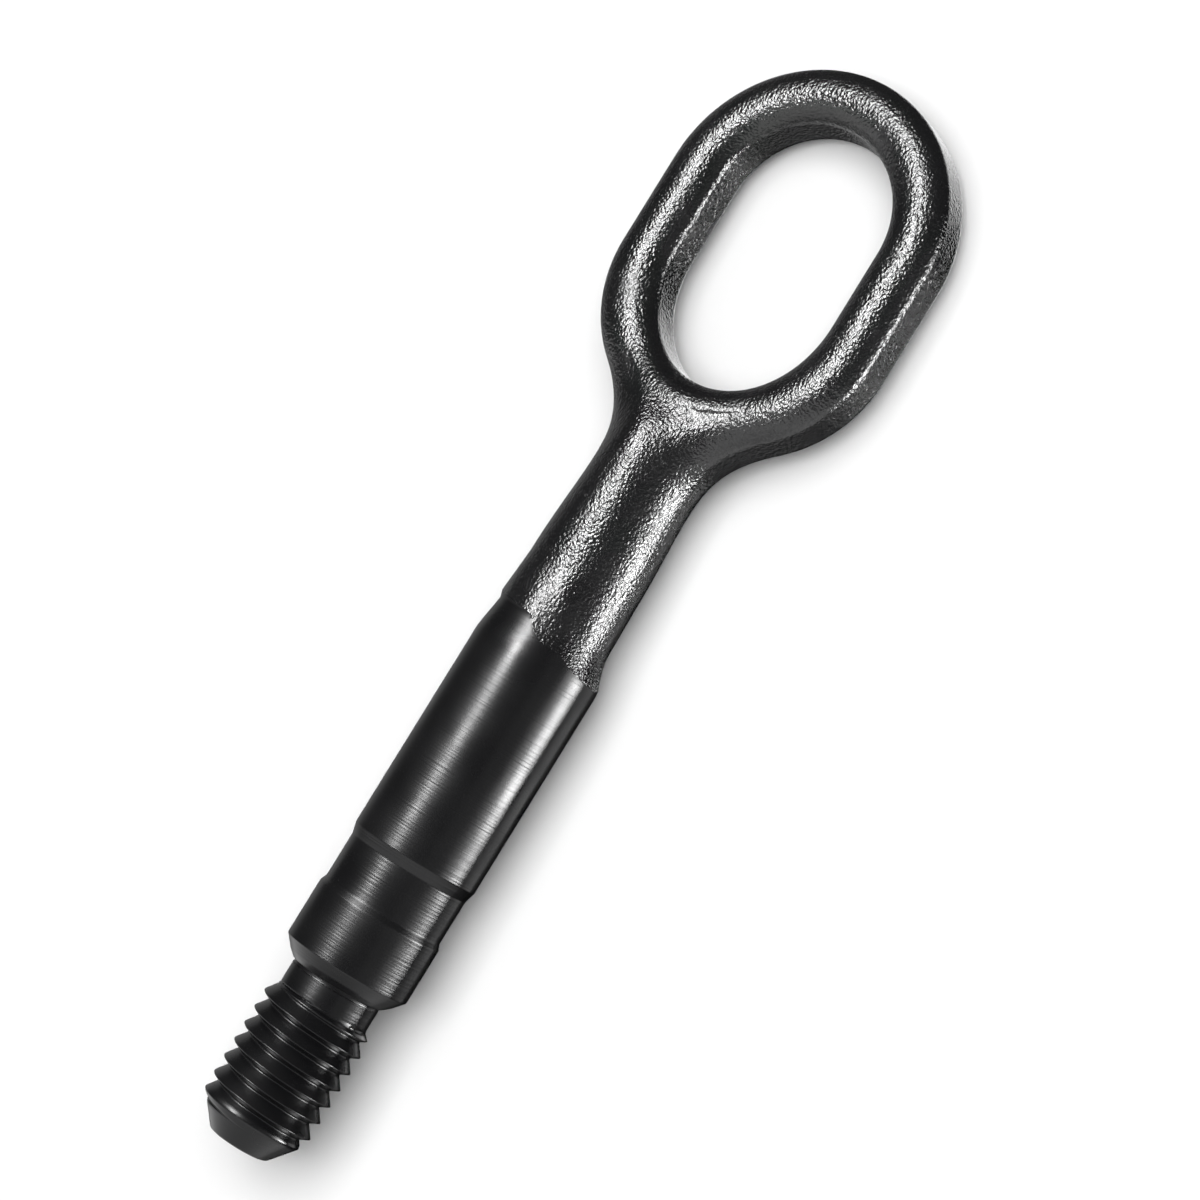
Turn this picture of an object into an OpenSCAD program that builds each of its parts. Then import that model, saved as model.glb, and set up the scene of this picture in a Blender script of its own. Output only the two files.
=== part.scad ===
// Screw-in tow eye, forged, turned and threaded from one blank.
// Millimetres. The shaft axis is X, with +X from the thread's tip to the eye.
// The eye lies flat in the XY plane and +Z is up.
// The origin is on the axis, where the collar meets its conical seat.

/* [Eye] */
// width of the eye over its outer walls, mm
eye_w = 54.4; // [52:0.5:60]
// width of the opening, mm
opening_w = 34; // [30:0.5:36]
// length of the opening, mm
opening_l = 49.7; // [44:0.5:52]
// distance from the seat to the far end of the eye, mm
eye_reach = 173.9; // [170:0.5:185]
// thickness of the eye over both rounded faces, mm
eye_t = 12.6; // [11.5:0.1:14]
// height of the flat wall left where the flash was trimmed, mm
wall_h = 6.4; // [5:0.1:7.5]

/* [Shank] */
// diameter of the forged shank next to the crotch, mm
shank_d = 18.9; // [17:0.1:20]
// diameter of the forged shank next to the turned part, mm
shank_end_d = 21.2; // [20.4:0.1:21.6]
// how far the forging sits beside the turned axis, mm
forging_offset = 0.6; // [0:0.1:0.7]

/* [Turned shaft] */
// diameter of the turned shaft, mm
shaft_d = 23.4; // [23:0.1:24]
// distance from the seat to the upper end of the full shaft, mm
shaft_top = 59.8; // [55:0.5:61]
// smallest diameter of the turned run-out below the forging, mm
runout_d = 21.5; // [21:0.1:22]
// diameter of the reduced band, mm
band_d = 22.3; // [21:0.1:22.9]
// distance from the seat to the lower end of the shaft, mm
shaft_bottom = 21.7; // [18:0.1:25]
// length of the chamfer between the shaft and the band, mm
band_chamfer = 2; // [1:0.1:3]
// diameter of the collar that centres the eye in its socket, mm
collar_d = 23.3; // [23:0.1:24]
// length of the collar, mm
collar_l = 10.3; // [8:0.1:13]
// diameter of the plain neck, mm
neck_d = 16.7; // [15:0.1:17]
// distance from the seat to the start of the thread, mm
neck_l = 7.8; // [6:0.1:9]

/* [Thread] */
// outer diameter of the thread, mm
thread_d = 20; // [19:0.1:22]
// pitch of the left-hand thread, mm
pitch = 3.19; // [2.8:0.01:3.6]
// share of the pitch taken by the steep flank that faces the tip
steep_share = 0.26; // [0.2:0.01:0.4]
// distance from the seat to the flat end, mm
thread_end = 34.7; // [30:0.1:40]
// diameter of the flat end, mm
tip_d = 11; // [8:0.1:14]

/* [Hidden] */
turn_fn = 96;
eps = 0.01;

// plan of the eye: half widths, end radii and centres
outer_w = eye_w / 2;
inner_w = opening_w / 2;
outer_far = outer_w * 0.985;
outer_near = outer_w * 0.92;
inner_far = inner_w * 0.97;
inner_near = inner_w * 1.12;
outer_far_x = eye_reach - outer_far;
inner_far_x = outer_far_x + 0.4;
inner_near_x = inner_far_x + inner_far + inner_near - opening_l;
outer_near_x = inner_near_x - 3.4;
half_t = eye_t / 2;
half_wall = wall_h / 2;

// counts of steps
face_steps = 8;
patch_steps = 7;
near_steps = 8;
side_steps = 2;
far_steps = 14;
crotch_steps = 10;
shank_steps = 4;
half_steps = patch_steps + near_steps + side_steps + far_steps;
ring_n = 2 * half_steps;
top_j = face_steps / 2 + 1;
loop_m = 2 * (face_steps + 3);
bottom_j = loop_m - 1 - top_j;

// angle on the eye's near end where the crotch begins to leave it
patch_angle = 50;

// one point of the plan: k 0 for the opening, 1 for the outer wall
function plan_near(f, k) =
    k == 0 ? [inner_near_x - inner_near * sin(f), inner_w * cos(f)]
           : [outer_near_x - outer_near * sin(f), outer_w * cos(f)];
function plan_far(f, k) =
    k == 0 ? [inner_far_x + inner_far * sin(f), inner_w * cos(f)]
           : [outer_far_x + outer_far * sin(f), outer_w * cos(f)];
function plan_half(i, k) =
    i <= patch_steps ? plan_near(90 - (90 - patch_angle) * i / patch_steps, k)
    : i <= patch_steps + near_steps ?
        plan_near(patch_angle * (1 - (i - patch_steps) / near_steps), k)
    : i <= patch_steps + near_steps + side_steps ?
        let (s = (i - patch_steps - near_steps) / side_steps)
        plan_near(0, k) * (1 - s) + plan_far(0, k) * s
    : plan_far(90 * (i - patch_steps - near_steps - side_steps) / far_steps, k);
function plan(i, k) =
    let (n = (i % ring_n + ring_n) % ring_n)
    n <= half_steps ? plan_half(n, k)
    : let (p = plan_half(ring_n - n, k)) [p[0], -p[1]];

// section of the limb: rounded face, small corner, flat wall
corner_in = 0.7;
function face_r(w) =
    let (h = half_t - half_wall - 0.45) (h * h + w * w / 4) / (2 * h);
// point j of a section of width w, as [distance from the middle, height]
function face_pt(j, w) =
    let (r = face_r(w), e = asin((w / 2 - corner_in) / r), a = e * (1 - 2 * (j - 1) / face_steps))
    [r * sin(a), half_t - r + r * cos(a)];
function section_top(j, w) =
    j == 0 ? [w / 2, half_wall]
    : j == face_steps + 2 ? [-w / 2, half_wall]
    : face_pt(j, w);
function section(j, w) =
    j <= face_steps + 2 ? section_top(j, w)
    : let (p = section_top(loop_m - 1 - j, w)) [p[0], -p[1]];
function ring_pt(i, j) =
    let (a = plan(i, 0), b = plan(i, 1), w = norm(b - a),
         s = section((j % loop_m + loop_m) % loop_m, w), m = (a + b) / 2 + (b - a) / w * s[0])
    [m[0], m[1] + forging_offset * 0.6, s[1]];

// edge of the patch on the eye that opens into the crotch, as [i, j] pairs
patch_edge = concat(
    [for (i = [-patch_steps:patch_steps]) [i, top_j]],
    [for (j = [top_j - 1:-1:0]) [patch_steps, j]],
    [for (j = [loop_m - 1:-1:bottom_j]) [patch_steps, j]],
    [for (i = [patch_steps - 1:-1:-patch_steps]) [i, bottom_j]],
    [for (j = [bottom_j + 1:loop_m - 1]) [-patch_steps, j]],
    [for (j = [0:top_j - 1]) [-patch_steps, j]]
);
edge_n = len(patch_edge);

// shank sections: radius, offset and the angle that each point of the loop takes
shank_x = 76;
land_z = 1.2;
forging_rise = 0.25;
crown_angle = 90 - patch_angle;
land_angle = 90 - asin(land_z / (shank_end_d / 2));
side_span = land_angle - crown_angle;
// share of the way from the crown to the land, for the point k steps out from the ridge
function side_share(k) = k == top_j ? 1 : 0.86 * k / (top_j - 1);
function loop_angle(p) =
    let (i = p[0], j = p[1])
    j == top_j ? crown_angle * i / patch_steps
    : j == bottom_j ? 180 - crown_angle * i / patch_steps
    : i > 0 ? (j < top_j ? crown_angle + side_span * side_share(top_j - j)
                         : 180 - crown_angle - side_span * side_share(j - bottom_j))
    : (j > bottom_j ? 180 + crown_angle + side_span * side_share(j - bottom_j)
                    : -crown_angle - side_span * side_share(top_j - j));
shank_mid_r = (shank_d * 0.36 + shank_end_d * 0.64) / 2;
function forged_r(x) =
    let (s = (shank_x - x) / 9)
    x > 67 ? shank_mid_r + (shank_end_d / 2 - shank_mid_r) * min(1, s)
    : shank_end_d / 2 + 1.9 * pow(min(1, (67 - x) / 6.5), 1.4);
// envelope left by the turning tool
runout_x = shaft_top + 6.6;
function turned_r(x) =
    x < shaft_top ? shaft_d / 2 - 0.06
    : x < runout_x ? shaft_d / 2 - 0.06 - (shaft_d / 2 - 0.06 - runout_d / 2) * (x - shaft_top) / 6.6
    : runout_d / 2 + (x - runout_x) * 0.3;
function shank_pt(p, x, r) =
    let (t = loop_angle(p), side = abs(r * cos(t)) <= land_z * 1.05,
         y = r * (side ? sign(sin(t)) * sqrt(1 - pow(land_z / r, 2)) : sin(t)) + forging_offset,
         z = r * cos(t) + forging_rise * min(1, (shank_x - x) / 8),
         d = norm([y, z]), k = min(1, turned_r(x) / d))
    [x, y * k, z * k];

// smooth run of the forging from one point of the patch edge to the shank, at share s of its way
near_lean = atan2(outer_w * sin(patch_angle), outer_near * cos(patch_angle));
function edge_share(j) = j <= top_j ? side_share(top_j - j) : side_share(j - bottom_j);
function column(p, s) =
    let (a = ring_pt(p[0], p[1]), b = shank_pt(p, shank_x, shank_mid_r),
         f = p[0] / patch_steps, g = abs(f), d = a[0] - b[0],
         reach = 0.45 - g * (0.02 + 0.07 * (1 - edge_share(p[1]))),
         lean = near_lean * f * (0.93 + 0.07 * edge_share(p[1])),
         ta = a + d * reach * [-cos(lean), -sin(lean), 0],
         tb = b + d * (0.62 - 0.13 * g) * [1, 0, 0])
    pow(1 - s, 3) * a + 3 * s * pow(1 - s, 2) * ta + 3 * s * s * (1 - s) * tb + s * s * s * b;
// point between the middle column and a corner column, with no crease at the corner column
function crown_pt(p, s) =
    let (n = sign(p[0]), j = p[1], up_side = j == top_j ? 1 : -1, t = crown_angle * abs(p[0]) / patch_steps,
         v = sin(t) / sin(crown_angle), bend = 0.7 * (1 - pow(1 - s, 8)),
         u = (1 - bend) * (1 - cos(t)) / (1 - cos(crown_angle)) + bend * (1 - cos(180 * v)) / 2,
         corner = [n * patch_steps, j], out = [n * patch_steps, j - up_side],
         m = column([0, j], s), q = column(corner, s), w = s * s * (3 - 2 * s),
         along = column(corner, s + 0.005) - column(corner, s - 0.005),
         a = ring_pt(out[0], out[1]) - ring_pt(corner[0], j),
         b = norm(shank_pt(out, shank_x, shank_mid_r) - shank_pt(corner, shank_x, shank_mid_r)),
         side = (1 - w) * [a[0], a[1], 0] + w * b * [0, n * cos(crown_angle), -up_side * sin(crown_angle)],
         up = cross(along, side), d = q - m,
         slope = -(up[0] * d[0] * (1 - bend) * (1 + cos(crown_angle)) / cos(crown_angle)
             + up[1] * d[1]) / up[2],
         c4 = slope / 2 - d[2])
    m + [u * d[0], v * d[1], (d[2] - c4) * v * v + c4 * pow(v, 4)];
function crotch_pt(p, s) =
    p[0] == 0 || abs(p[0]) == patch_steps ? column(p, s) : crown_pt(p, s);

// stations of the shank below the crotch, ending inside the turned shaft
shank_stations = concat(
    [for (q = [1:shank_steps]) shank_x - (shank_x - 69.6) * q / shank_steps],
    [68.4, 67.4, runout_x, runout_x - 1.3, runout_x - 2.6, runout_x - 3.9, runout_x - 5.2,
     shaft_top - 0.05, shaft_top - 1.5]
);
station_n = len(shank_stations);
function buried_r(x) = x < shaft_top - 1 ? 0.97 : 1;

ring_pts = [for (i = [0:ring_n - 1]) for (j = [0:loop_m - 1]) ring_pt(i, j)];
crotch_pts = [for (q = [1:crotch_steps]) for (p = patch_edge) crotch_pt(p, q / crotch_steps)];
shank_pts = [for (x = shank_stations) for (p = patch_edge)
    let (v = shank_pt(p, x, forged_r(x)), k = buried_r(x)) [v[0], v[1] * k, v[2] * k]];
forged_pts = concat(ring_pts, crotch_pts, shank_pts, [[shank_stations[station_n - 1], 0, 0]]);

function ring_id(i, j) =
    ((i % ring_n + ring_n) % ring_n) * loop_m + (j % loop_m + loop_m) % loop_m;
function on_patch(i, j) = i >= -patch_steps && i < patch_steps && (j < top_j || j >= bottom_j);
// loop 0 is the patch edge, and the later loops run down to the shaft
function loop_id(q, k) =
    let (n = k % edge_n)
    q == 0 ? ring_id(patch_edge[n][0], patch_edge[n][1]) : ring_n * loop_m + (q - 1) * edge_n + n;
last_loop = crotch_steps + station_n;
ring_faces = [for (i = [-half_steps:half_steps - 1]) for (j = [0:loop_m - 1]) if (!on_patch(i, j))
    for (f = [[ring_id(i, j), ring_id(i + 1, j), ring_id(i + 1, j + 1)],
              [ring_id(i, j), ring_id(i + 1, j + 1), ring_id(i, j + 1)]]) f];
loop_faces = [for (q = [0:last_loop - 1]) for (k = [0:edge_n - 1])
    for (f = [[loop_id(q, k), loop_id(q + 1, k + 1), loop_id(q, k + 1)],
              [loop_id(q, k), loop_id(q + 1, k), loop_id(q + 1, k + 1)]]) f];
end_faces = [for (k = [0:edge_n - 1])
    [loop_id(last_loop, k), len(forged_pts) - 1, loop_id(last_loop, k + 1)]];

module forging() {
    polyhedron(points = forged_pts, faces = concat(ring_faces, loop_faces, end_faces), convexity = 8);
}

// turned shaft, band, collar, conical seat and neck, true round
seat_l = (collar_d - neck_d) / 2;
module turned_shaft() {
    rotate([0, 90, 0])
        rotate_extrude($fn = turn_fn)
            polygon([
                [0, -neck_l - 1.6],
                [neck_d / 2, -neck_l - 1.6],
                [neck_d / 2, -seat_l],
                [collar_d / 2, 0],
                [collar_d / 2, collar_l],
                [band_d / 2, collar_l + 1.1],
                [band_d / 2, shaft_bottom - band_chamfer],
                [shaft_d / 2, shaft_bottom],
                [shaft_d / 2, shaft_top],
                [0, shaft_top]
            ]);
}

// left-hand thread with a shallow flank to the eye and a steep flank to the tip
thread_n = 40;
crest_r = thread_d / 2;
root_r = neck_d / 2 + 0.1;
crest_half = 0.04;
root_share = 0.05;
row_marks = [
    crest_half,
    crest_half + steep_share / 2,
    crest_half + steep_share,
    crest_half + steep_share + root_share,
    (1 + steep_share + root_share) / 2 - 0.15,
    (1 + steep_share + root_share) / 2 + 0.15,
    1 - crest_half
];
row_n = len(row_marks);
turns = ceil((thread_end - neck_l) / pitch) + 3;
start_x = -neck_l + 0.4;
end_x = -thread_end;
first_crest = -neck_l + 1.307 * pitch;
function crest_x(i) = first_crest - pitch * i / thread_n;
function groove_r(q) =
    q <= crest_half ? crest_r
    : q <= crest_half + steep_share ?
        crest_r - (crest_r - root_r) * (q - crest_half) / steep_share
    : q <= crest_half + steep_share + root_share ? root_r
    : q <= 1 - crest_half ?
        root_r + (crest_r - root_r) * (q - crest_half - steep_share - root_share)
            / (1 - 2 * crest_half - steep_share - root_share)
    : crest_r;
function thread_r(i, x) =
    let (q = (crest_x(i) - x) / pitch)
    min(groove_r(q - floor(q)), neck_d / 2 - neck_l - x, tip_d / 2 + (x - end_x) * 0.8);
function row_x(i, j) =
    min(start_x, max(end_x, crest_x(i) - pitch * (floor(j / row_n) + row_marks[j % row_n])));
function thread_pt(i, j) =
    let (x = row_x(i, j), r = thread_r(i, x), a = 360 * i / thread_n)
    [x, r * cos(a), r * sin(a)];
rows = turns * row_n;
thread_pts = concat(
    [for (i = [0:thread_n - 1]) for (j = [0:rows - 1]) thread_pt(i, j)],
    [[start_x, 0, 0], [end_x, 0, 0]]
);
// going once round moves a row by one pitch
function row_id(i, j) = i < thread_n ? i * rows + j : min(rows - 1, j + row_n);
function apart(t) =
    let (a = thread_pts[t[0]], b = thread_pts[t[1]], c = thread_pts[t[2]])
    norm(a - b) > 0 && norm(b - c) > 0 && norm(c - a) > 0;
side_faces = [for (i = [0:thread_n - 1]) for (j = [0:rows - 2])
    for (t = [[row_id(i, j), row_id(i + 1, j), row_id(i + 1, j + 1)],
              [row_id(i, j), row_id(i + 1, j + 1), row_id(i, j + 1)]]) if (apart(t)) t];
start_faces = [for (i = [0:thread_n - 1])
    [thread_n * rows, row_id((i + 1) % thread_n, 0), row_id(i, 0)]];
tip_faces = [for (i = [0:thread_n - 1])
    [thread_n * rows + 1, row_id(i, rows - 1), row_id((i + 1) % thread_n, rows - 1)]];

module thread() {
    polyhedron(points = thread_pts, faces = concat(side_faces, start_faces, tip_faces), convexity = 20);
}

module tow_eye() {
    color([0.06, 0.06, 0.065]) union() {
        turned_shaft();
        forging();
        thread();
    }
}

tow_eye();
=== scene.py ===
import math

import bmesh
import bpy
import numpy as np
from mathutils import Matrix, Vector


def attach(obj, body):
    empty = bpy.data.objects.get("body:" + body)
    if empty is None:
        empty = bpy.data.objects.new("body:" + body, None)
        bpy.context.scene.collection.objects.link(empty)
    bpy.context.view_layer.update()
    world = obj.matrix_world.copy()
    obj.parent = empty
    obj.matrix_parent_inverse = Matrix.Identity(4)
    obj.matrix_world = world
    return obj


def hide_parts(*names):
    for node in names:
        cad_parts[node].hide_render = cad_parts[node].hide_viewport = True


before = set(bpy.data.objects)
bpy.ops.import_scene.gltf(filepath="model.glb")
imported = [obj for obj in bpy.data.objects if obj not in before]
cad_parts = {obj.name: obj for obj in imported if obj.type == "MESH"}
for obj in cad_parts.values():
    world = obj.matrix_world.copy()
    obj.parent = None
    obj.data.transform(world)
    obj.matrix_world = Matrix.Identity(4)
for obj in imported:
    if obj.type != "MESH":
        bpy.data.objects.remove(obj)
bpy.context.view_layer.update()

MM = 0.001

# Sizes of the tow eye in millimetres.
EYE_W, OPENING_W, OPENING_L, EYE_REACH = 54.4, 34.0, 49.7, 173.9
HALF_T, CORNER_Z, CORNER_R = 6.29, 3.52, 2.0
SHANK_X, SHANK_R, SHANK_END_R, OFFSET = 76.0, 10.19, 10.6, 0.6
SHANK_TAPER_L, FLARE_X, FLARE_L, FLARE_R, FLARE_POWER = 9, 67, 6.5, 1.9, 1.4
SHAFT_R, SHAFT_TOP, RUNOUT_X, RUNOUT_R = 11.69, 59.8, 66.4, 10.75
COLLAR_R, COLLAR_L, BAND_R, NECK_R, NECK_L = 11.64, 10.3, 11.15, 8.34, 7.8
SHAFT_BOTTOM, BAND_CHAMFER = 21.7, 2.0
THREAD_R, ROOT_R, PITCH, STEEP = 9.99, 8.38, 3.19, 0.26
THREAD_END, TIP_R, TIP_SLOPE = 34.68, 5.5, 0.8

# Where one stretch of the turned part hands over to the next.
EDGE_TOP = SHAFT_TOP + 0.25
SHAFT_EASE, LIP_SLOPE = 1.6, 0.3
NECK_LAP, TIP_LAP = 0.3, 0.9

# The eye's plan: depth of each half oval as a share of its half width, and shifts along X.
OUTER_FAR, OUTER_NEAR, INNER_FAR, INNER_NEAR = 0.985, 0.92, 0.97, 1.12
INNER_SHIFT, NEAR_SHIFT = 0.4, 3.4
WALL_START = 0.4

# The crotch: its land and angles, how much fuller its crown is, and where it is round.
LAND_Z, CROWN_ANGLE, PATCH_ANGLE = 1.2, 40.0, 50.0
RISE, BRIDGE_RISE, ROUND_AT = 0.25, 1.4, 0.6
CROWN_SKEW, SKEW_PACE = 0.1, 1.6
CROWN_BEND, BEND_POWER = 0.7, 8
LEAN_SHARE, SIDE_GAIN = 0.93, 0.07
START_REACH, START_GAIN, END_REACH, END_LOSS = 0.15, 0.21, 0.8, 0.31

# Counts of steps of the mesh.
FILLET_STEPS, FACE_STEPS = 5, 11
TOP_J = FILLET_STEPS + 1 + FACE_STEPS
LOOP_M = 2 * (2 * TOP_J + 1)
BOTTOM_J = LOOP_M - 1 - TOP_J
PATCH_STEPS, NEAR_STEPS, SIDE_STEPS, FAR_STEPS = 26, 20, 10, 40
HALF_STEPS = PATCH_STEPS + NEAR_STEPS + SIDE_STEPS + FAR_STEPS
RING_N = 2 * HALF_STEPS
CROTCH_STEPS, SHANK_STEPS, LIP_STEPS, RUNOUT_STEPS = 44, 34, 3, 10
SOFT_EDGE = (7, 13)
THREAD_TABLE_N = 2000


def plan_half(i):
    """Opening point and outer point of the eye's plan at step i of one half, from the near end."""
    outer_w, inner_w = EYE_W / 2, OPENING_W / 2
    outer_far, outer_near = outer_w * OUTER_FAR, outer_w * OUTER_NEAR
    inner_far, inner_near = inner_w * INNER_FAR, inner_w * INNER_NEAR
    outer_far_x = EYE_REACH - outer_far
    inner_far_x = outer_far_x + INNER_SHIFT
    inner_near_x = inner_far_x + inner_far + inner_near - OPENING_L
    outer_near_x = inner_near_x - NEAR_SHIFT

    def near(deg):
        f = math.radians(deg)
        return (np.array([inner_near_x - inner_near * math.sin(f), inner_w * math.cos(f)]),
                np.array([outer_near_x - outer_near * math.sin(f), outer_w * math.cos(f)]))

    def far(deg):
        f = math.radians(deg)
        return (np.array([inner_far_x + inner_far * math.sin(f), inner_w * math.cos(f)]),
                np.array([outer_far_x + outer_far * math.sin(f), outer_w * math.cos(f)]))

    if i <= PATCH_STEPS:
        return near(90 - (90 - PATCH_ANGLE) * i / PATCH_STEPS)
    i -= PATCH_STEPS
    if i <= NEAR_STEPS:
        return near(PATCH_ANGLE * (1 - i / NEAR_STEPS))
    i -= NEAR_STEPS
    if i <= SIDE_STEPS:
        s = i / SIDE_STEPS
        (a, b), (c, d) = near(0), far(0)
        return a * (1 - s) + c * s, b * (1 - s) + d * s
    i -= SIDE_STEPS
    return far(90 * i / FAR_STEPS)


def limb_section(w):
    """Closed section of the limb, of width w: rounded faces, filleted corners and flat walls."""
    h = HALF_T - CORNER_Z
    r = (h * h + w * w / 4) / (2 * h)
    base = HALF_T - r
    cy = w / 2 - CORNER_R
    cz = base + math.sqrt((r - CORNER_R) ** 2 - cy ** 2)
    lean = math.atan2(cy, cz - base)
    half = [(w / 2, cz - WALL_START)]
    for k in range(FILLET_STEPS + 1):
        a = math.pi / 2 + (lean - math.pi / 2) * k / FILLET_STEPS
        half.append((cy + CORNER_R * math.sin(a), cz + CORNER_R * math.cos(a)))
    for k in range(1, FACE_STEPS + 1):
        a = lean * (1 - k / FACE_STEPS)
        half.append((r * math.sin(a), base + r * math.cos(a)))
    top = half + [(-y, z) for y, z in half[-2::-1]]
    return top + [(y, -z) for y, z in top[::-1]]


def crown_shares(i):
    """Shares of the way across and along, from the middle of the patch to its corner, at step i."""
    c = math.radians(CROWN_ANGLE)
    t = c * abs(i) / PATCH_STEPS
    return math.sin(t) / math.sin(c), (1 - math.cos(t)) / (1 - math.cos(c))


def bridge_rise(i, j, s, w):
    """How much thicker each face is where the two limbs meet at the near end of the eye."""
    i = min(i, RING_N - i)
    if i >= PATCH_STEPS:
        return 0.0
    inward = min(1.0, abs(s) / (w / 2))
    rise = BRIDGE_RISE * (1 - crown_shares(i)[0] ** 2) ** 2 * (1 - inward ** 2)
    return rise if j < LOOP_M / 2 else -rise


def ring_points():
    """Points of the eye, as RING_N sections of LOOP_M points."""
    half = [plan_half(i) for i in range(HALF_STEPS + 1)]
    mirror = np.array([1, -1])
    plans = half + [(a * mirror, b * mirror) for a, b in half[-2:0:-1]]
    out = np.zeros((RING_N, LOOP_M, 3))
    for i, (a, b) in enumerate(plans):
        w = np.linalg.norm(b - a)
        for j, (s, z) in enumerate(limb_section(w)):
            m = (a + b) / 2 + (b - a) / w * s
            out[i, j] = m[0], m[1] + OFFSET * 0.6, z + bridge_rise(i, j, s, w)
    return out


def patch_edge():
    """The (i, j) pairs round the patch that opens into the crotch, from the top centre."""
    p, t, b = PATCH_STEPS, TOP_J, BOTTOM_J
    edge = [(i, t) for i in range(-p, p + 1)]
    edge += [(p, j) for j in range(t - 1, -1, -1)]
    edge += [(p, j) for j in range(LOOP_M - 1, b - 1, -1)]
    edge += [(i, b) for i in range(p - 1, -p - 1, -1)]
    edge += [(-p, j) for j in range(b + 1, LOOP_M)]
    edge += [(-p, j) for j in range(t)]
    return edge[p:] + edge[:p]


EDGE = patch_edge()
EDGE_N = len(EDGE)


def side_shares():
    """Share of the way from the ridge to the land, along the section, for each step out."""
    corner = plan_half(PATCH_STEPS)
    section = np.array(limb_section(np.linalg.norm(corner[1] - corner[0])))[:TOP_J + 1]
    lengths = np.linalg.norm(np.diff(section[::-1], axis=0), axis=1)
    return np.concatenate([[0], np.cumsum(lengths)]) / lengths.sum()


SHARES = side_shares()


def side_share(j):
    return SHARES[TOP_J - j if j <= TOP_J else j - BOTTOM_J]


def loop_angles():
    """Angle in degrees, from +Z towards +Y, that each column takes on the shank."""
    land = 90 - math.degrees(math.asin(LAND_Z / SHANK_END_R))
    span = land - CROWN_ANGLE
    out = []
    for i, j in EDGE:
        crown = CROWN_ANGLE * i / PATCH_STEPS
        if j == TOP_J:
            t = crown
        elif j == BOTTOM_J:
            t = 180 - crown
        elif j < TOP_J:
            t = math.copysign(CROWN_ANGLE + span * side_share(j), i)
        else:
            t = 180 - math.copysign(CROWN_ANGLE + span * side_share(j), i)
        out.append(t % 360)
    return np.array(out)


ANGLES = loop_angles()


def forged_r(x):
    """Radius of the forging's own form below the crotch, before it is turned."""
    s = min(1.0, max(0.0, (SHANK_X - x) / SHANK_TAPER_L))
    if x > FLARE_X:
        return SHANK_R + (SHANK_END_R - SHANK_R) * s
    return SHANK_END_R + FLARE_R * min(1.0, (FLARE_X - x) / FLARE_L) ** FLARE_POWER


def turned_r(x):
    """Radius that the turning tool left above the shaft: an eased edge, a cone and a lip."""
    slope = (SHAFT_R - RUNOUT_R) / (RUNOUT_X - SHAFT_TOP)
    if x < SHAFT_TOP:
        return SHAFT_R
    if x < SHAFT_TOP + SHAFT_EASE:
        return SHAFT_R - slope * (x - SHAFT_TOP) ** 2 / (2 * SHAFT_EASE)
    if x < RUNOUT_X:
        return SHAFT_R - slope * (x - SHAFT_TOP - SHAFT_EASE / 2)
    return SHAFT_R - slope * (RUNOUT_X - SHAFT_TOP - SHAFT_EASE / 2) + (x - RUNOUT_X) * LIP_SLOPE


def forged_point(deg, x):
    """Point of the forged shank at that angle, with the narrow land left by the trimmed flash."""
    r, t = forged_r(x), math.radians(deg)
    wave = 0.05 * math.sin(5 * t + 0.3 * x) + 0.04 * math.sin(11 * t - 0.45 * x + 1.1)
    r += wave * min(1.0, max(0.0, (SHANK_X - x) / 5))
    y, z = r * math.sin(t), r * math.cos(t)
    if abs(z) <= LAND_Z * 1.05:
        y = math.copysign(math.sqrt(r * r - LAND_Z ** 2), y)
    return y + OFFSET, z + RISE * min(1.0, max(0.0, (SHANK_X - x) / 8))


def section_share(s):
    """How far the section has turned from the limb's into the shank's at share s of the way."""
    t = min(1.0, max(0.0, s / ROUND_AT))
    return t * t * (3 - 2 * t)


class Column:
    """Smooth run from one point of the patch edge to the shank, read at share s of its way."""

    def __init__(self, ring, i, j, deg):
        outer_w, p = EYE_W / 2, math.radians(PATCH_ANGLE)
        near_lean = math.atan2(outer_w * math.sin(p), outer_w * OUTER_NEAR * math.cos(p))
        self.a = ring[i % RING_N, j]
        self.b = np.array([SHANK_X, *forged_point(deg, SHANK_X)])
        f = i / PATCH_STEPS
        g, d = abs(f), self.a[0] - SHANK_X
        lean = near_lean * f * (LEAN_SHARE + SIDE_GAIN * side_share(j))
        reach = START_REACH + g * (START_GAIN + SIDE_GAIN * side_share(j))
        self.ta = self.a + d * reach * np.array([-math.cos(lean), -math.sin(lean), 0])
        self.tb = self.b + d * (END_REACH - END_LOSS * g) * np.array([1, 0, 0])
        self.outer = self
        if g == 1 and j not in (0, LOOP_M - 1):
            k = 0 if j < LOOP_M / 2 else LOOP_M - 1
            self.outer = Column(ring, i, k, ANGLES[EDGE.index((i, k))])

    def run(self, s):
        return ((1 - s) ** 3 * self.a + 3 * s * (1 - s) ** 2 * self.ta
                + 3 * s * s * (1 - s) * self.tb + s ** 3 * self.b)

    def at(self, s):
        """The run's point, with the section's form already that of the shank early on the way."""
        x, y, z = self.run(s)
        early = section_share(s)
        z = (1 - early) * self.a[2] + early * self.b[2]
        if self.outer is not self:
            a, b = self.a[1] - self.outer.a[1], self.b[1] - self.outer.b[1]
            y = self.outer.run(s)[1] + (1 - early) * a + early * b
        return np.array([x, y, z])


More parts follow.
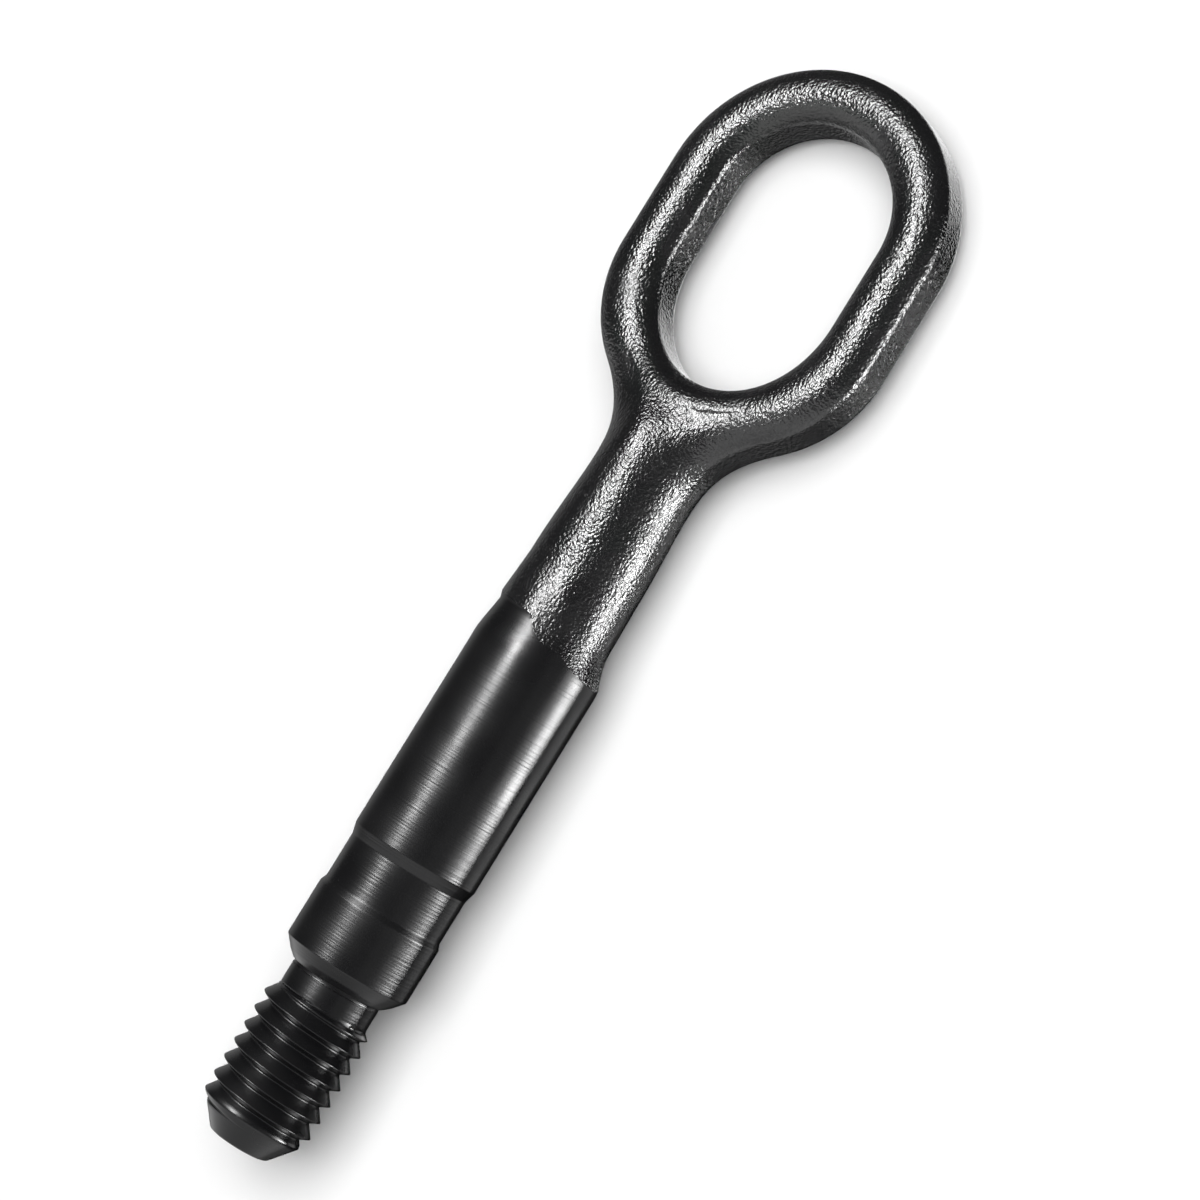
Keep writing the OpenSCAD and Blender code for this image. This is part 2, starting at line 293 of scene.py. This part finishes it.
def crown_point(i, j, columns, ring, s):
    """Point between the middle column and a corner column, with no crease at the corner column."""
    n, c, ds = (1 if i > 0 else -1), math.radians(CROWN_ANGLE), 0.005
    v, u = crown_shares(i)
    bend = CROWN_BEND * (1 - (1 - s) ** BEND_POWER)
    u = (1 - bend) * u + bend * (1 - math.cos(math.pi * v)) / 2
    upper = j == TOP_J
    corner, out = (n * PATCH_STEPS, j), (n * PATCH_STEPS, j - 1 if upper else j + 1)
    m, q, w = columns[0, j].at(s), columns[corner].at(s), section_share(s)
    along = columns[corner].at(s + ds) - columns[corner].at(s - ds)
    a = columns[out].a - columns[corner].a
    b = np.linalg.norm(columns[out].b - columns[corner].b)
    side = (1 - w) * np.array([a[0], a[1], 0])
    side += w * b * np.array([0, n * math.cos(c), -math.sin(c) if upper else math.sin(c)])
    up = np.cross(along, side)
    x, y, rise = q - m
    slope = -(up[0] * x * (1 - bend) * (1 + math.cos(c)) / math.cos(c) + up[1] * y) / up[2]
    c4 = slope / 2 - rise
    skew = CROWN_SKEW * y * v * (1 - v * v) ** 2 * math.sin(math.pi * min(1, SKEW_PACE * s))
    skew *= 1 if upper else -1
    return m + np.array([u * x, v * y, (rise - c4) * v * v + c4 * v ** 4 + skew])


def crotch_loops(ring):
    """Loops that run smoothly from the patch edge on the eye to the shank."""
    columns = {(i, j): Column(ring, i, j, deg) for (i, j), deg in zip(EDGE, ANGLES)}
    loops = []
    for q in range(1, CROTCH_STEPS + 1):
        s = q / CROTCH_STEPS
        loops.append(np.array([crown_point(i, j, columns, ring, s) if 0 < abs(i) < PATCH_STEPS
                               else columns[i, j].at(s) for i, j in EDGE]))
    return loops


def boundary_x(deg):
    """Where the tool first cut the forging at this angle, coming down from the eye."""
    x = 74.0
    while x > SHAFT_TOP + 0.2:
        y, z = forged_point(deg, x)
        if math.hypot(y, z) >= turned_r(x):
            break
        x -= 0.02
    return x


def shank_and_runout_loops():
    """Loops of the forged shank down to the tool's edge, then of the turned run-out."""
    edges = [boundary_x(deg) for deg in ANGLES]
    forged, turned = [], []
    for q in range(1, SHANK_STEPS + 1):
        s = 1 - (1 - q / SHANK_STEPS) ** 1.5
        loop = []
        for deg, xb in zip(ANGLES, edges):
            x = SHANK_X + (xb - SHANK_X) * s
            y, z = forged_point(deg, x)
            if q == SHANK_STEPS:
                k = turned_r(x) / math.hypot(y, z)
                y, z = y * k, z * k
            loop.append((x, y, z))
        forged.append(np.array(loop))
    last = forged[-1]
    polar = np.arctan2(last[:, 1], last[:, 2])
    for q in range(1, LIP_STEPS + 1):
        s = q / LIP_STEPS
        loop = [(x, turned_r(x) * math.sin(a), turned_r(x) * math.cos(a))
                for xb, a in zip(edges, polar) for x in [xb + (min(xb, RUNOUT_X) - xb) * s]]
        turned.append(np.array(loop))
    for q in range(1, RUNOUT_STEPS + 1):
        s = 1 - (1 - q / RUNOUT_STEPS) ** 1.3
        loop = []
        for xb, a in zip(edges, polar):
            x0 = min(xb, RUNOUT_X)
            x = x0 + (EDGE_TOP - x0) * s
            loop.append((x, turned_r(x) * math.sin(a), turned_r(x) * math.cos(a)))
        turned.append(np.array(loop))
    return forged, turned, polar


def rounded_profile(points, support=0.12, steps=4):
    """Profile of (x, radius, fillet length) corners, with each corner rounded and supported."""
    out = []
    for k, (x, r, cut) in enumerate(points):
        p = np.array([x, r])
        if k in (0, len(points) - 1) or cut == 0:
            out.append(p)
            continue
        before, after = np.array(points[k - 1][:2]) - p, np.array(points[k + 1][:2]) - p
        before, after = before / np.linalg.norm(before), after / np.linalg.norm(after)
        a, b = p + before * cut, p + after * cut
        out.append(a + before * support)
        for q in range(steps + 1):
            s = q / steps
            out.append(a * (1 - s) ** 2 + p * 2 * s * (1 - s) + b * s * s)
        out.append(b + after * support)
    return out


TURNED_PROFILE = [
    (EDGE_TOP, turned_r(EDGE_TOP), 0),
    (SHAFT_TOP, SHAFT_R, 0.1),
    (SHAFT_BOTTOM, SHAFT_R, 0.12),
    (SHAFT_BOTTOM - BAND_CHAMFER, BAND_R, 0.15),
    (COLLAR_L + 1.15, BAND_R, 0.2),
    (COLLAR_L, COLLAR_R, 0.15),
    (0, COLLAR_R, 0.12),
    (-2.0, 9.95, 0.35),
    (-3.05, 8.75, 0.12),
    (-3.14, NECK_R - 0.06, 0.03),
    (-3.6, NECK_R - 0.06, 0.1),
    (-3.75, NECK_R, 0.05),
    (-NECK_L + 0.6, NECK_R, 0),
    (-NECK_L + NECK_LAP, NECK_R, 0),
]


def groove(q):
    """Radius of the thread at fraction q of a pitch past a crest, towards the tip."""
    root = 0.05
    if q <= STEEP:
        return THREAD_R - (THREAD_R - ROOT_R) * q / STEEP
    if q <= STEEP + root:
        return ROOT_R
    return ROOT_R + (THREAD_R - ROOT_R) * (q - STEEP - root) / (1 - STEEP - root)


def thread_marks():
    """Fractions of the pitch at which rows lie, and the rounded radius at each."""
    table = np.linspace(0, 1, THREAD_TABLE_N + 1)[:-1]
    sharp = np.array([groove(q) for q in table])
    half = 0.045
    blurred = np.zeros_like(sharp)
    reach = int(half * THREAD_TABLE_N)
    shifts = range(-reach, reach + 1, 6)
    for s in shifts:
        blurred += np.roll(sharp, s)
    blurred /= len(shifts)
    marks = np.concatenate([np.linspace(0, 0.045, 4), [0.06, 0.13, STEEP - 0.065],
                            np.linspace(STEEP - 0.045, STEEP + 0.095, 9),
                            [STEEP + 0.115, 0.55, 0.75, 0.935], np.linspace(0.955, 0.985, 3)])
    return marks, np.interp(marks, table, blurred)


def smooth_min(a, b, k=0.12):
    """The lower of a and b, with the corner between them rounded."""
    h = max(k - abs(a - b), 0.0) / k
    return min(a, b) - h * h * k * 0.25


def thread_grid(polar):
    """Sheared grid of the left-hand thread: columns as on the shaft, rows that follow the helix."""
    marks, radii = thread_marks()
    rows_per_turn = len(marks)
    start, end = -NECK_L + NECK_LAP, -THREAD_END + TIP_LAP
    first = -NECK_L + 1.307 * PITCH
    turns = int(math.ceil((start - end) / PITCH)) + 4
    turn_angle = np.degrees(np.unwrap(polar))
    turn_angle -= turn_angle[0]
    around, radii_around = np.append(marks, 1), np.append(radii, radii[0])
    grid = np.zeros((len(polar), turns * rows_per_turn, 3))
    for k, (a, t) in enumerate(zip(polar, turn_angle)):
        crest = first - PITCH * (90 - t) / 360 + PITCH
        for j in range(turns * rows_per_turn):
            x = crest - PITCH * (j // rows_per_turn + marks[j % rows_per_turn])
            r = radii[j % rows_per_turn]
            if x > start or x < end:
                x = min(start, max(end, x))
                q = (crest - x) / PITCH
                r = float(np.interp(q - math.floor(q), around, radii_around))
            r = smooth_min(r, NECK_R - NECK_L - x)
            r = smooth_min(r, TIP_R + (x + THREAD_END) * TIP_SLOPE)
            if x >= start:
                r = NECK_R
            if x <= end:
                r = TIP_R + (end + THREAD_END) * TIP_SLOPE
            grid[k, j] = x, r * math.sin(a), r * math.cos(a)
    return grid, rows_per_turn


TIP_PROFILE = [
    (-THREAD_END + TIP_LAP, TIP_R + TIP_LAP * TIP_SLOPE, 0),
    (-THREAD_END, TIP_R, 0.45),
    (-THREAD_END, 1.2, 0),
]


def smooth_step(value, low, high):
    s = min(1.0, max(0.0, (value - low) / (high - low)))
    return s * s * (3 - 2 * s)


def ring_softness(i, j):
    """How freely a point of the eye may move when the crotch is smoothed, from 0 to 1."""
    around = min(i, RING_N - i)
    inward = min(abs(j - TOP_J), abs(j - BOTTOM_J))
    outer = j < TOP_J or j > BOTTOM_J
    edge = min(j, LOOP_M - 1 - j) if outer else TOP_J
    return ((1 - smooth_step(around, PATCH_STEPS + 2, PATCH_STEPS + 16))
            * smooth_step(edge, *SOFT_EDGE)
            * (1 if outer else 1 - smooth_step(inward, 3, 10)))


def build_tow_eye():
    """The whole tow eye as one closed mesh. Face regions: 0 forged, 1 turned, 2 threaded."""
    points, faces, regions, soft = [], [], [], []

    def add(rows, softness=None):
        base = len(points)
        points.extend(tuple(p) for p in rows)
        soft.extend([0.0] * len(rows) if softness is None else softness)
        return base

    ring = ring_points()
    add(ring.reshape(-1, 3),
        [ring_softness(i, j) for i in range(RING_N) for j in range(LOOP_M)])
    edge_softness = [smooth_step(TOP_J if j in (TOP_J, BOTTOM_J) else min(j, LOOP_M - 1 - j),
                                 *SOFT_EDGE) for _, j in EDGE]

    def ring_id(i, j):
        return (i % RING_N) * LOOP_M + j % LOOP_M

    for i in range(-HALF_STEPS, HALF_STEPS):
        for j in range(LOOP_M):
            if -PATCH_STEPS <= i < PATCH_STEPS and (j < TOP_J or j >= BOTTOM_J):
                continue
            faces.append((ring_id(i, j), ring_id(i + 1, j),
                          ring_id(i + 1, j + 1), ring_id(i, j + 1)))
            regions.append(0)

    previous = [ring_id(i, j) for i, j in EDGE]

    def join(loop, region, softness=None):
        nonlocal previous
        base = add(loop, softness)
        current = list(range(base, base + EDGE_N))
        for k in range(EDGE_N):
            n = (k + 1) % EDGE_N
            faces.append((previous[k], previous[n], current[n], current[k]))
            regions.append(region)
        previous = current

    forged, turned, polar = shank_and_runout_loops()
    for q, loop in enumerate(crotch_loops(ring)):
        free = 1 - smooth_step(q, CROTCH_STEPS - 12, CROTCH_STEPS - 2)
        join(loop, 0, [free * s for s in edge_softness])
    for loop in forged:
        join(loop, 0)
    for loop in turned:
        join(loop, 1)
    for x, r in rounded_profile(TURNED_PROFILE)[1:]:
        join(np.array([(x, r * math.sin(a), r * math.cos(a)) for a in polar]), 1)

    grid, rows_per_turn = thread_grid(polar)
    rows = grid.shape[1]
    base = add(grid.reshape(-1, 3))

    def grid_id(k, j):
        if k < EDGE_N:
            return base + k * rows + min(j, rows - 1)
        return base + min(max(j - rows_per_turn, 0), rows - 1)

    for k in range(EDGE_N):
        for j in range(rows - 1):
            faces.append((grid_id(k, j), grid_id(k + 1, j),
                          grid_id(k + 1, j + 1), grid_id(k, j + 1)))
            regions.append(2)
    previous = [grid_id(k, rows - 1) for k in range(EDGE_N)]
    for x, r in rounded_profile(TIP_PROFILE)[1:]:
        join(np.array([(x, r * math.sin(a), r * math.cos(a)) for a in polar]), 1)
    centre = add([(-THREAD_END, 0, 0)])
    for k in range(EDGE_N):
        faces.append((previous[k], previous[(k + 1) % EDGE_N], centre))
        regions.append(1)
    return np.array(points), faces, regions, np.array(soft)


def welded(points, faces, regions, soft):
    """Merges points that coincide and drops the faces that this leaves without area."""
    keys, first, place = np.unique(np.round(points / 2e-4).astype(np.int64), axis=0,
                                   return_index=True, return_inverse=True)
    place = place.ravel()
    new_faces, new_regions = [], []
    for face, region in zip(faces, regions):
        ids = [int(place[v]) for v in face]
        ids = [v for n, v in enumerate(ids) if v != ids[n - 1]]
        if len(ids) >= 3 and len(set(ids)) == len(ids):
            new_faces.append(ids)
            new_regions.append(region)
    return points[first], new_faces, new_regions, soft[first]


def smoothed(points, faces, soft, rounds=30):
    """Evens out the crotch, where the shank opens into the eye, without shrinking it."""
    pairs = {(min(a, b), max(a, b)) for face in faces for a, b in zip(face, face[1:] + face[:1])
             if soft[a] > 0 or soft[b] > 0}
    pairs = np.array(sorted(pairs))
    count = np.zeros(len(points))
    np.add.at(count, pairs[:, 0], 1)
    np.add.at(count, pairs[:, 1], 1)
    count = np.maximum(count, 1)[:, None]
    out = points.copy()
    for _ in range(rounds):
        for step in (0.55, -0.57):
            total = np.zeros_like(out)
            np.add.at(total, pairs[:, 0], out[pairs[:, 1]])
            np.add.at(total, pairs[:, 1], out[pairs[:, 0]])
            out += step * soft[:, None] * (total / count - out)
    return out


def make_object(name, points, faces, regions, materials):
    mesh = bpy.data.meshes.new(name)
    mesh.from_pydata([tuple(p * MM) for p in points], [], faces)
    for material in materials:
        mesh.materials.append(material)
    mesh.polygons.foreach_set("material_index", regions)
    mesh.polygons.foreach_set("use_smooth", [True] * len(mesh.polygons))
    bm = bmesh.new()
    bm.from_mesh(mesh)
    bmesh.ops.recalc_face_normals(bm, faces=bm.faces)
    open_edges = sum(1 for e in bm.edges if len(e.link_faces) != 2)
    bm.to_mesh(mesh)
    bm.free()
    print(name, "faces", len(mesh.polygons), "open edges", open_edges)
    obj = bpy.data.objects.new(name, mesh)
    bpy.context.scene.collection.objects.link(obj)
    return obj


# Materials: one black coat over forged, turned and threaded steel.
COAT_BLACK = (0.004, 0.004, 0.0045)


def new_material(name, color, roughness):
    material = bpy.data.materials.new(name)
    material.use_nodes = True
    tree = material.node_tree
    shader = tree.nodes["Principled BSDF"]
    shader.inputs["Base Color"].default_value = (*color, 1)
    shader.inputs["Roughness"].default_value = roughness
    shader.inputs["IOR"].default_value = 1.5
    return material, tree, shader


def node(tree, kind, **values):
    item = tree.nodes.new(kind)
    for key, value in values.items():
        if key in item.inputs:
            item.inputs[key].default_value = value
        else:
            setattr(item, key, value)
    return item


def object_coordinates(tree, scale=(1, 1, 1)):
    coords = tree.nodes.new("ShaderNodeTexCoord")
    mapping = tree.nodes.new("ShaderNodeMapping")
    mapping.inputs["Scale"].default_value = scale
    tree.links.new(coords.outputs["Object"], mapping.inputs["Vector"])
    return mapping.outputs["Vector"]


def ranged(tree, value, low, high, out_low, out_high):
    """Maps a texture's value from one range to another."""
    item = tree.nodes.new("ShaderNodeMapRange")
    for key, number in (("From Min", low), ("From Max", high),
                        ("To Min", out_low), ("To Max", out_high)):
        item.inputs[key].default_value = number
    tree.links.new(value, item.inputs["Value"])
    return item.outputs["Result"]


def forged_material():
    """Black coat over a forged skin: fine orange peel, with slow changes of gloss."""
    material, tree, shader = new_material("forged_black", COAT_BLACK, 0.3)
    shader.inputs["Specular IOR Level"].default_value = 0.9
    link = tree.links.new
    vector = object_coordinates(tree)
    peel = node(tree, "ShaderNodeTexNoise", Scale=2200.0, Detail=1.0, Roughness=0.5,
                Distortion=0.15)
    pits = node(tree, "ShaderNodeTexVoronoi", Scale=1500.0, Randomness=1.0)
    pits.feature = "SMOOTH_F1"
    waves = node(tree, "ShaderNodeTexNoise", Scale=260.0, Detail=1.5)
    patches = node(tree, "ShaderNodeTexNoise", Scale=120.0, Detail=3.0)
    for item in (peel, pits, waves, patches):
        link(vector, item.inputs["Vector"])
    bump_waves = node(tree, "ShaderNodeBump", Strength=1.0, Distance=0.00005)
    bump_pits = node(tree, "ShaderNodeBump", Strength=1.0, Distance=0.00008)
    bump_peel = node(tree, "ShaderNodeBump", Strength=1.0, Distance=0.00015)
    link(waves.outputs["Fac"], bump_waves.inputs["Height"])
    link(pits.outputs["Distance"], bump_pits.inputs["Height"])
    link(peel.outputs["Fac"], bump_peel.inputs["Height"])
    link(bump_waves.outputs["Normal"], bump_pits.inputs["Normal"])
    link(bump_pits.outputs["Normal"], bump_peel.inputs["Normal"])
    link(bump_peel.outputs["Normal"], shader.inputs["Normal"])
    link(ranged(tree, patches.outputs["Fac"], 0.35, 0.65, 0.22, 0.29), shader.inputs["Roughness"])
    return material


def turned_material(name, ring_depth, roughness):
    """Black coat over a turned face: fine rings round the axis, uneven from place to place."""
    material, tree, shader = new_material(name, COAT_BLACK, roughness)
    link = tree.links.new
    along = object_coordinates(tree, (1, 0.02, 0.02))
    fine = node(tree, "ShaderNodeTexNoise", Scale=3000.0, Detail=1.0)
    coarse = node(tree, "ShaderNodeTexNoise", Scale=420.0, Detail=1.0)
    link(along, fine.inputs["Vector"])
    link(along, coarse.inputs["Vector"])
    cloud = node(tree, "ShaderNodeTexNoise", Scale=90.0, Detail=2.0)
    link(object_coordinates(tree), cloud.inputs["Vector"])
    bump_coarse = node(tree, "ShaderNodeBump", Strength=1.0, Distance=ring_depth * 0.4)
    bump_fine = node(tree, "ShaderNodeBump", Strength=1.0, Distance=ring_depth)
    link(coarse.outputs["Fac"], bump_coarse.inputs["Height"])
    link(fine.outputs["Fac"], bump_fine.inputs["Height"])
    link(bump_coarse.outputs["Normal"], bump_fine.inputs["Normal"])
    link(bump_fine.outputs["Normal"], shader.inputs["Normal"])
    link(ranged(tree, cloud.outputs["Fac"], 0.3, 0.7, roughness * 0.85, roughness * 1.2),
         shader.inputs["Roughness"])
    return material


forged = forged_material()
turned = turned_material("turned_black", 0.000025, 0.3)
threaded = turned_material("threaded_black", 0.000002, 0.27)

points, faces, regions, soft = welded(*build_tow_eye())
points = smoothed(points, faces, soft)
tow_eye = make_object("tow_eye_detail", points, faces, regions, [forged, turned, threaded])
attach(tow_eye, "root")
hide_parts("tow_eye")

# Camera, in the row frame.
CAMERA_MM = (57.6, -309.9, 520.8)
CAMERA_RIGHT = Vector((0.5253, -0.7413, -0.4177))
CAMERA_UP = Vector((0.8505, 0.4410, 0.2868))
camera_data = bpy.data.cameras.new("camera")
camera_data.lens = 107.9
camera_data.sensor_width = 36
camera_data.clip_end = 20
camera = bpy.data.objects.new("camera", camera_data)
bpy.context.scene.collection.objects.link(camera)
back = CAMERA_RIGHT.cross(CAMERA_UP).normalized()
right = CAMERA_UP.cross(back).normalized()
up = back.cross(right)
rotation = Matrix((right, up, back)).transposed().to_4x4()
camera.matrix_world = Matrix.Translation([v * MM for v in CAMERA_MM]) @ rotation
bpy.context.scene.camera = camera
bpy.context.scene.view_settings.view_transform = "Standard"

# The floor touches the shaft's upper end and the far end of the eye.
REST_TILT = math.atan2(SHAFT_R - HALF_T, EYE_REACH - 5.0 - SHAFT_TOP)
FLOOR_CORNERS = [(-3.0, -3.0, 0), (3.0, -3.0, 0), (3.0, 3.0, 0), (-3.0, 3.0, 0)]
floor_mesh = bpy.data.meshes.new("floor")
floor_mesh.from_pydata(FLOOR_CORNERS, [], [(0, 1, 2, 3)])
floor = bpy.data.objects.new("floor", floor_mesh)
bpy.context.scene.collection.objects.link(floor)
floor.location = (SHAFT_TOP * MM, 0, -SHAFT_R * MM)
floor.rotation_euler = (0, -REST_TILT, 0)
floor_material, floor_tree, floor_shader = new_material("floor_pale", (0.8, 0.8, 0.8), 0.9)
floor_shader.inputs["Specular IOR Level"].default_value = 0.0
floor_mesh.materials.append(floor_material)
floor.visible_glossy = False


def panel(name, direction, distance, width, length, radiance, along=0.065, floor_light=False):
    """Soft rectangular light that faces the object, its length along the object's X axis."""
    data = bpy.data.lights.new(name, "AREA")
    data.shape = "RECTANGLE"
    data.size, data.size_y = width, length
    data.energy = radiance * math.pi * width * length
    obj = bpy.data.objects.new(name, data)
    bpy.context.scene.collection.objects.link(obj)
    z_axis = Vector(direction).normalized()
    aim = Vector((along, 0, 0))
    y_axis = Vector((1, 0, 0)) - z_axis * z_axis.x
    if y_axis.length < 0.2:
        y_axis = Vector((0, 0, 1)) - z_axis * z_axis.z
    y_axis.normalize()
    x_axis = y_axis.cross(z_axis)
    obj.matrix_world = Matrix.Translation(aim + z_axis * distance) @ \
        Matrix((x_axis, y_axis, z_axis)).transposed().to_4x4()
    obj.visible_camera = False
    obj.visible_diffuse = floor_light
    obj.visible_glossy = not floor_light
    return obj


def across(deg):
    """Direction square to the shaft, deg from +Z towards -Y."""
    return (0, -math.sin(math.radians(deg)), math.cos(math.radians(deg)))


# Each strip is a bright core level with the shank and a dimmer tail beyond the eye. It begins
# level with the upper shaft, so its reflection fades towards the thread.
panel("strip_left", across(-11), 0.9, 0.17, 0.27, 42, along=0.145)
panel("strip_left_tail", across(-17), 0.9, 0.34, 0.42, 20, along=0.49)
panel("strip_right", across(113.5), 0.9, 0.28, 0.22, 42, along=0.09)
panel("strip_right_tail", across(113.5), 0.9, 0.28, 0.4, 11, along=0.40)
panel("strip_right_soft", across(100), 0.9, 0.35, 0.4, 5, along=0.13)
panel("strip_far", across(153), 0.9, 0.35, 0.4, 1.0, along=0.1)
panel("eye_below", (0.42, 0.2, -0.86), 0.9, 0.6, 0.6, 2.0, along=0.14)
panel("fill_right", across(78), 1.0, 1.0, 1.2, 0.22)
panel("rim_left", across(-125), 0.9, 0.8, 1.2, 0.3)
panel("floor_fill", (0.1, -0.2, 1), 1.6, 1.6, 1.6, 4.4, floor_light=True)

# World: white to the camera, a grey wall beyond the tip and dark elsewhere in reflections.
world = bpy.data.worlds.new("world")
bpy.context.scene.world = world
world.use_nodes = True
tree = world.node_tree
output = tree.nodes["World Output"]
path = tree.nodes.new("ShaderNodeLightPath")
split = tree.nodes.new("ShaderNodeSeparateXYZ")
tree.links.new(tree.nodes.new("ShaderNodeTexCoord").outputs["Generated"], split.inputs["Vector"])
near_wall = ranged(tree, split.outputs["X"], -0.50, -0.34, 1.15, 0.06)
far_wall = ranged(tree, split.outputs["X"], -1.0, -0.6, 0.5, 1.0)
above_floor = ranged(tree, split.outputs["Z"], -0.8, -0.6, 0.12, 1.0)
wall_fade = node(tree, "ShaderNodeMath", operation="MULTIPLY")
wall_mix = node(tree, "ShaderNodeMath", operation="MULTIPLY")
tree.links.new(near_wall, wall_fade.inputs[0])
tree.links.new(far_wall, wall_fade.inputs[1])
tree.links.new(wall_fade.outputs["Value"], wall_mix.inputs[0])
tree.links.new(above_floor, wall_mix.inputs[1])
mirrored = tree.nodes["Background"]
mirrored.inputs["Color"].default_value = (1, 1, 1, 1)
tree.links.new(wall_mix.outputs["Value"], mirrored.inputs["Strength"])
ambient = node(tree, "ShaderNodeBackground", Strength=0.35)
white = node(tree, "ShaderNodeBackground", Strength=1.0)
for shader in (ambient, white):
    shader.inputs["Color"].default_value = (1, 1, 1, 1)
glossy_mix = tree.nodes.new("ShaderNodeMixShader")
camera_mix = tree.nodes.new("ShaderNodeMixShader")
tree.links.new(path.outputs["Is Glossy Ray"], glossy_mix.inputs["Fac"])
tree.links.new(ambient.outputs["Background"], glossy_mix.inputs[1])
tree.links.new(mirrored.outputs["Background"], glossy_mix.inputs[2])
tree.links.new(path.outputs["Is Camera Ray"], camera_mix.inputs["Fac"])
tree.links.new(glossy_mix.outputs["Shader"], camera_mix.inputs[1])
tree.links.new(white.outputs["Background"], camera_mix.inputs[2])
tree.links.new(camera_mix.outputs["Shader"], output.inputs["Surface"])
